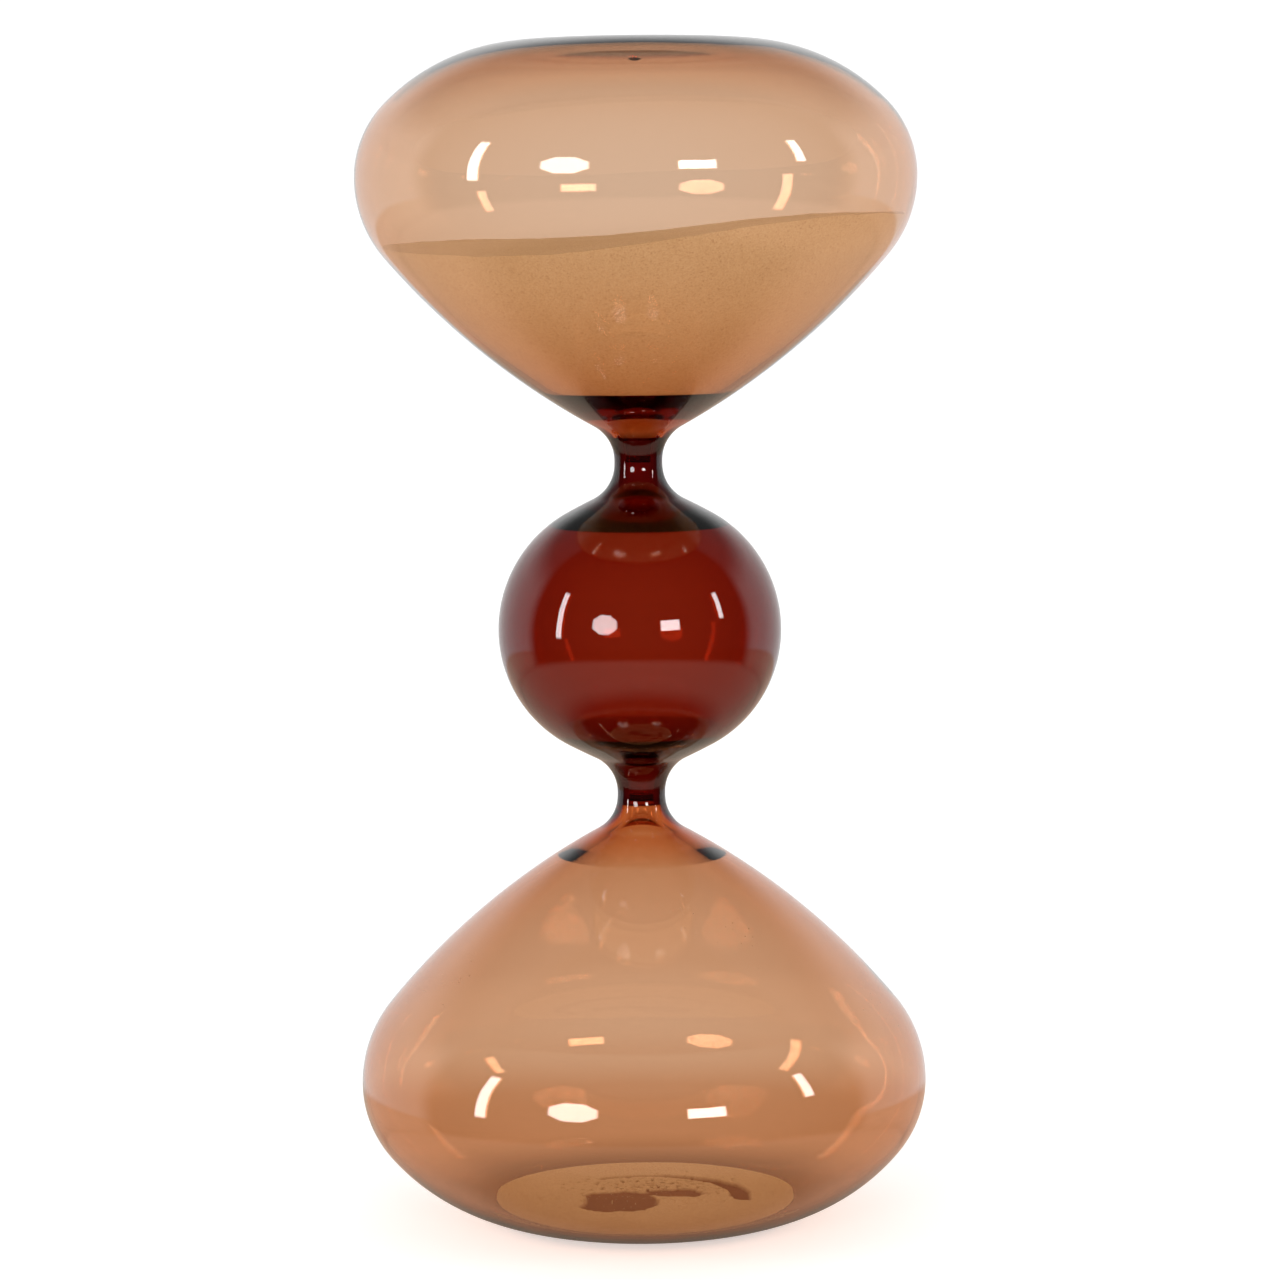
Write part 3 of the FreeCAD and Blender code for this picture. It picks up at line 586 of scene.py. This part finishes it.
def studio():
    """Plain white for the camera and the sand. The glass sees a white sweep behind, a bright floor in front,
    a dark room and four soft lights, with painted shadow of the object darkening the sweep's lower edge and
    the floor straight below."""
    scene = bpy.context.scene
    world = bpy.data.worlds.new("studio")
    scene.world = world
    world.use_nodes = True
    tree = world.node_tree
    tree.nodes.clear()
    new, link = tree.nodes.new, tree.links.new

    def math_node(kind, *values):
        node = new("ShaderNodeMath")
        node.operation = kind
        for socket, value in zip(node.inputs, values):
            if isinstance(value, (int, float)):
                socket.default_value = value
            else:
                link(value, socket)
        return node.outputs[0]

    def ease(value, low, high):
        node = new("ShaderNodeMapRange")
        node.interpolation_type = "SMOOTHSTEP"
        link(value, node.inputs["Value"])
        node.inputs["From Min"].default_value, node.inputs["From Max"].default_value = low, high
        return node.outputs["Result"]

    coord = new("ShaderNodeTexCoord")
    split = new("ShaderNodeSeparateXYZ")
    link(coord.outputs["Generated"], split.inputs[0])
    x, y, z = split.outputs
    # azimuth from the front (-Y), positive to the right, and elevation, both in degrees
    azimuth = math_node("MULTIPLY", math_node("ARCTAN2", x, math_node("MULTIPLY", y, -1.0)), 180 / math.pi)
    elevation = math_node("MULTIPLY", math_node("ARCSINE", z), 180 / math.pi)
    away = math_node("ABSOLUTE", azimuth)

    def panel(az, el, wide, tall, strength, corner=0.0):
        """A soft-edged rectangle of light; corner cuts it to an octagon."""
        dx = math_node("DIVIDE", math_node("ABSOLUTE", math_node("SUBTRACT", azimuth, az)), wide / 2)
        dy = math_node("DIVIDE", math_node("ABSOLUTE", math_node("SUBTRACT", elevation, el)), tall / 2)
        reach = math_node("MAXIMUM", dx, dy)
        if corner:
            reach = math_node("MAXIMUM", reach, math_node("DIVIDE", math_node("ADD", dx, dy), corner))
        return math_node("MULTIPLY", ease(reach, 1.08, 0.92), strength)

    lights = panel(-28.7, 9.5, 20.0, 16.0, 16.0, corner=1.42)
    for spec in ((24.9, 9.2, 15.4, 8.4, 22.0), (-69.0, 13.0, 5.0, 32.0, 18.0),
                 (71.0, 19.0, 4.4, 18.0, 18.0)):
        lights = math_node("ADD", lights, panel(*spec))
    sweep = math_node("MULTIPLY", ease(away, 92.0, 106.0), 1.12)
    for near, far, drop in ((-16.0, -34.0, 0.92), (18.0, 40.0, 0.8)):    # its lower edge, darkened as painted shadow under the object, and its upper edge
        edge = math_node("SUBTRACT", 1.0, math_node("MULTIPLY", ease(elevation, near, far), drop))
        sweep = math_node("MULTIPLY", sweep, edge)
    # painted shadow: the floor straight under the object darkened
    painted_shadow_under = math_node("MULTIPLY", ease(elevation, -42.0, -62.0), 0.9)
    ground = math_node("MULTIPLY", ease(elevation, -18.0, -24.0), math_node("SUBTRACT", 1.0, painted_shadow_under))
    room = math_node("MAXIMUM", math_node("MAXIMUM", sweep, ground), 0.035)

    path = new("ShaderNodeLightPath")
    white, through = new("ShaderNodeBackground"), new("ShaderNodeBackground")
    white.inputs["Color"].default_value = (1, 1, 1, 1)
    scattered = math_node("MINIMUM", path.outputs["Diffuse Depth"], 1.0)
    overhead = math_node("ADD", 0.22, math_node("MULTIPLY", ease(elevation, 15.0, 60.0), 0.27))
    link(math_node("SUBTRACT", 1.12, math_node("MULTIPLY", scattered, overhead)),
         white.inputs["Strength"])
    link(math_node("ADD", room, lights), through.inputs["Strength"])
    # the sweep turns to a darker, warmer table below: painted shade, the table in the object's shadow
    shaded_table = new("ShaderNodeMix")
    shaded_table.data_type = "RGBA"
    shaded_table.inputs["A"].default_value = (0.8, 0.8, 0.8, 1)
    shaded_table.inputs["B"].default_value = (0.66, 0.52, 0.41, 1)
    link(ease(elevation, -10.8, -13.0), shaded_table.inputs["Factor"])
    link(shaded_table.outputs["Result"], through.inputs["Color"])
    mix = new("ShaderNodeMixShader")
    seen = math_node("MAXIMUM", path.outputs["Is Camera Ray"], scattered)
    link(math_node("SUBTRACT", 1.0, seen), mix.inputs["Fac"])
    link(white.outputs[0], mix.inputs[1])
    link(through.outputs[0], mix.inputs[2])
    out = new("ShaderNodeOutputWorld")
    link(mix.outputs[0], out.inputs["Surface"])

    scene.view_settings.view_transform = "Standard"
    scene.cycles.max_bounces = 40
    scene.cycles.transmission_bounces = 40
    scene.cycles.glossy_bounces = 12
    scene.cycles.diffuse_bounces = 4
    scene.cycles.blur_glossy = 0.0


studio()


# ------------------------------------------------------------------ floor

def stage_square(name, reach, drop, material):
    """A level square that isn't part of the object, in metres, just under the foot."""
    mesh = bpy.data.meshes.new(name)
    mesh.from_pydata([(x * reach, y * reach, -drop) for x, y in ((-1, -1), (1, -1), (1, 1), (-1, 1))],
                     [], [(0, 1, 2, 3)])
    mesh.materials.append(material)
    square = bpy.data.objects.new(name, mesh)
    bpy.context.scene.collection.objects.link(square)
    square.visible_diffuse = square.visible_shadow = False
    return square


def pale_floor():
    """A wide white floor. The camera sees it and its soft shadow; the glass sees the painted sweep."""
    material = bpy.data.materials.new("pale_floor")
    material.use_nodes = True
    body = material.node_tree.nodes["Principled BSDF"]
    body.inputs["Base Color"].default_value = (0.88, 0.87, 0.86, 1)
    body.inputs["Roughness"].default_value = 1.0
    body.inputs["Specular IOR Level"].default_value = 0.0
    body.inputs["Emission Color"].default_value = (1, 1, 1, 1)
    body.inputs["Emission Strength"].default_value = 0.45
    floor = stage_square("pale_floor", 8.0, 0.0002, material)
    floor.visible_glossy = floor.visible_transmission = False


def foot_shade():
    """The shaded floor under the overhang, as the glass itself sees it and mirrors it."""
    material, tree, out = node_material("foot_shade")
    new, link = tree.nodes.new, tree.links.new
    coord, length, fade = new("ShaderNodeTexCoord"), new("ShaderNodeVectorMath"), new("ShaderNodeMapRange")
    length.operation, fade.interpolation_type = "LENGTH", "SMOOTHSTEP"
    link(coord.outputs["Object"], length.inputs[0])
    link(length.outputs["Value"], fade.inputs["Value"])
    fade.inputs["From Min"].default_value, fade.inputs["From Max"].default_value = 0.040, 0.150
    fade.inputs["To Min"].default_value, fade.inputs["To Max"].default_value = 0.94, 0.0
    clear, dark = new("ShaderNodeBsdfTransparent"), new("ShaderNodeEmission")
    dark.inputs["Color"].default_value = (0.16, 0.11, 0.08, 1)
    mix = new("ShaderNodeMixShader")
    link(fade.outputs["Result"], mix.inputs["Fac"])
    link(clear.outputs[0], mix.inputs[1])
    link(dark.outputs[0], mix.inputs[2])
    link(mix.outputs[0], out.inputs["Surface"])
    shade = stage_square("foot_shade", 0.16, 0.0004, material)
    shade.visible_camera = False


pale_floor()
foot_shade()


# ------------------------------------------------------------------ camera

def look():
    """A long lens from a little under the upper bulb's belly, tipped down at the middle."""
    data = bpy.data.cameras.new("camera")
    data.lens, data.sensor_width = 115.05, 36.0
    data.clip_start, data.clip_end = 0.01, 50.0
    camera = bpy.data.objects.new("camera", data)
    bpy.context.scene.collection.objects.link(camera)
    camera.location = (0.0, -1.727, 0.4234)
    pitch, roll = math.radians(-5.81), math.radians(-0.54)
    camera.rotation_mode = "XYZ"
    turn = Matrix.Rotation(math.pi / 2 + pitch, 4, "X") @ Matrix.Rotation(roll, 4, "Z")
    camera.rotation_euler = turn.to_euler()
    bpy.context.scene.camera = camera


look()
